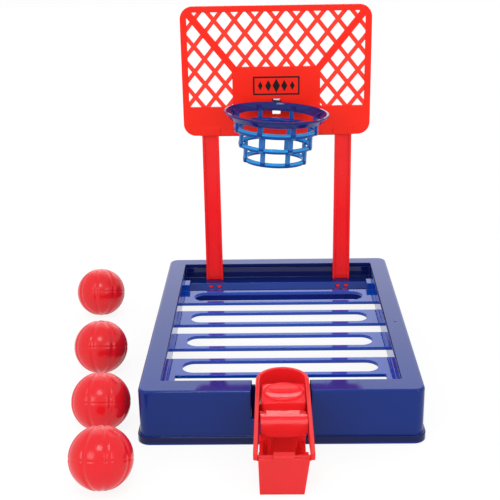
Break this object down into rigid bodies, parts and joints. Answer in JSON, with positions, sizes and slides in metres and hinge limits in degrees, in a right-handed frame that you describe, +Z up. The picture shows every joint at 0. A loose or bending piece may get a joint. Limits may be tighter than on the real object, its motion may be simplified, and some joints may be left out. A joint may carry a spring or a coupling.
{
  "type": "tabletop basketball game",
  "caption": "Tabletop basketball game: slatted tray base, backboard on two posts, hoop with a moulded net, finger launcher and loose balls.",
  "frame": {"origin": "on the table, in the middle of the front wall's lower edge", "axes": "+X to the player's right, +Y from the player towards the backboard, +Z up"},
  "size_m": [0.2141, 0.252, 0.2062],
  "materials": {
    "navy_moulding": "glossy",
    "hoop_moulding": "glossy",
    "red_moulding": "glossy",
    "board_moulding": "satin",
    "ball_shell": "glossy"
  },
  "bodies": {
    "game": {"base_frame": "navy_moulding", "slatted_tray": "navy_moulding", "left_post": "red_moulding", "right_post": "red_moulding", "backboard": "board_moulding", "hoop": "hoop_moulding", "launcher_housing": "red_moulding", "launcher_foot": "red_moulding"},
    "lever": {"launcher_lever": "red_moulding"},
    "ball_1": {"ball_1_lower_half": "ball_shell", "ball_1_upper_half": "ball_shell"},
    "ball_2": {"ball_2_lower_half": "ball_shell", "ball_2_upper_half": "ball_shell"},
    "ball_3": {"ball_3_lower_half": "ball_shell", "ball_3_upper_half": "ball_shell"},
    "ball_4": {"ball_4_lower_half": "ball_shell", "ball_4_upper_half": "ball_shell"}
  },
  "joints": [
    {"name": "launcher_press", "type": "hinge", "parent": "game", "child": "lever", "pos_m": [0.0008, -0.008, 0.021], "axis": [1, 0, 0], "range_deg": [0, 22]},
    {"name": "ball_1_lift", "type": "slide", "parent": "game", "child": "ball_1", "axis": [0, 0, 1], "range_m": [0, 0.03]},
    {"name": "ball_2_lift", "type": "slide", "parent": "game", "child": "ball_2", "axis": [0, 0, 1], "range_m": [0, 0.03]},
    {"name": "ball_3_lift", "type": "slide", "parent": "game", "child": "ball_3", "axis": [0, 0, 1], "range_m": [0, 0.03]},
    {"name": "ball_4_lift", "type": "slide", "parent": "game", "child": "ball_4", "axis": [0, 0, 1], "range_m": [0, 0.03]}
  ]
}
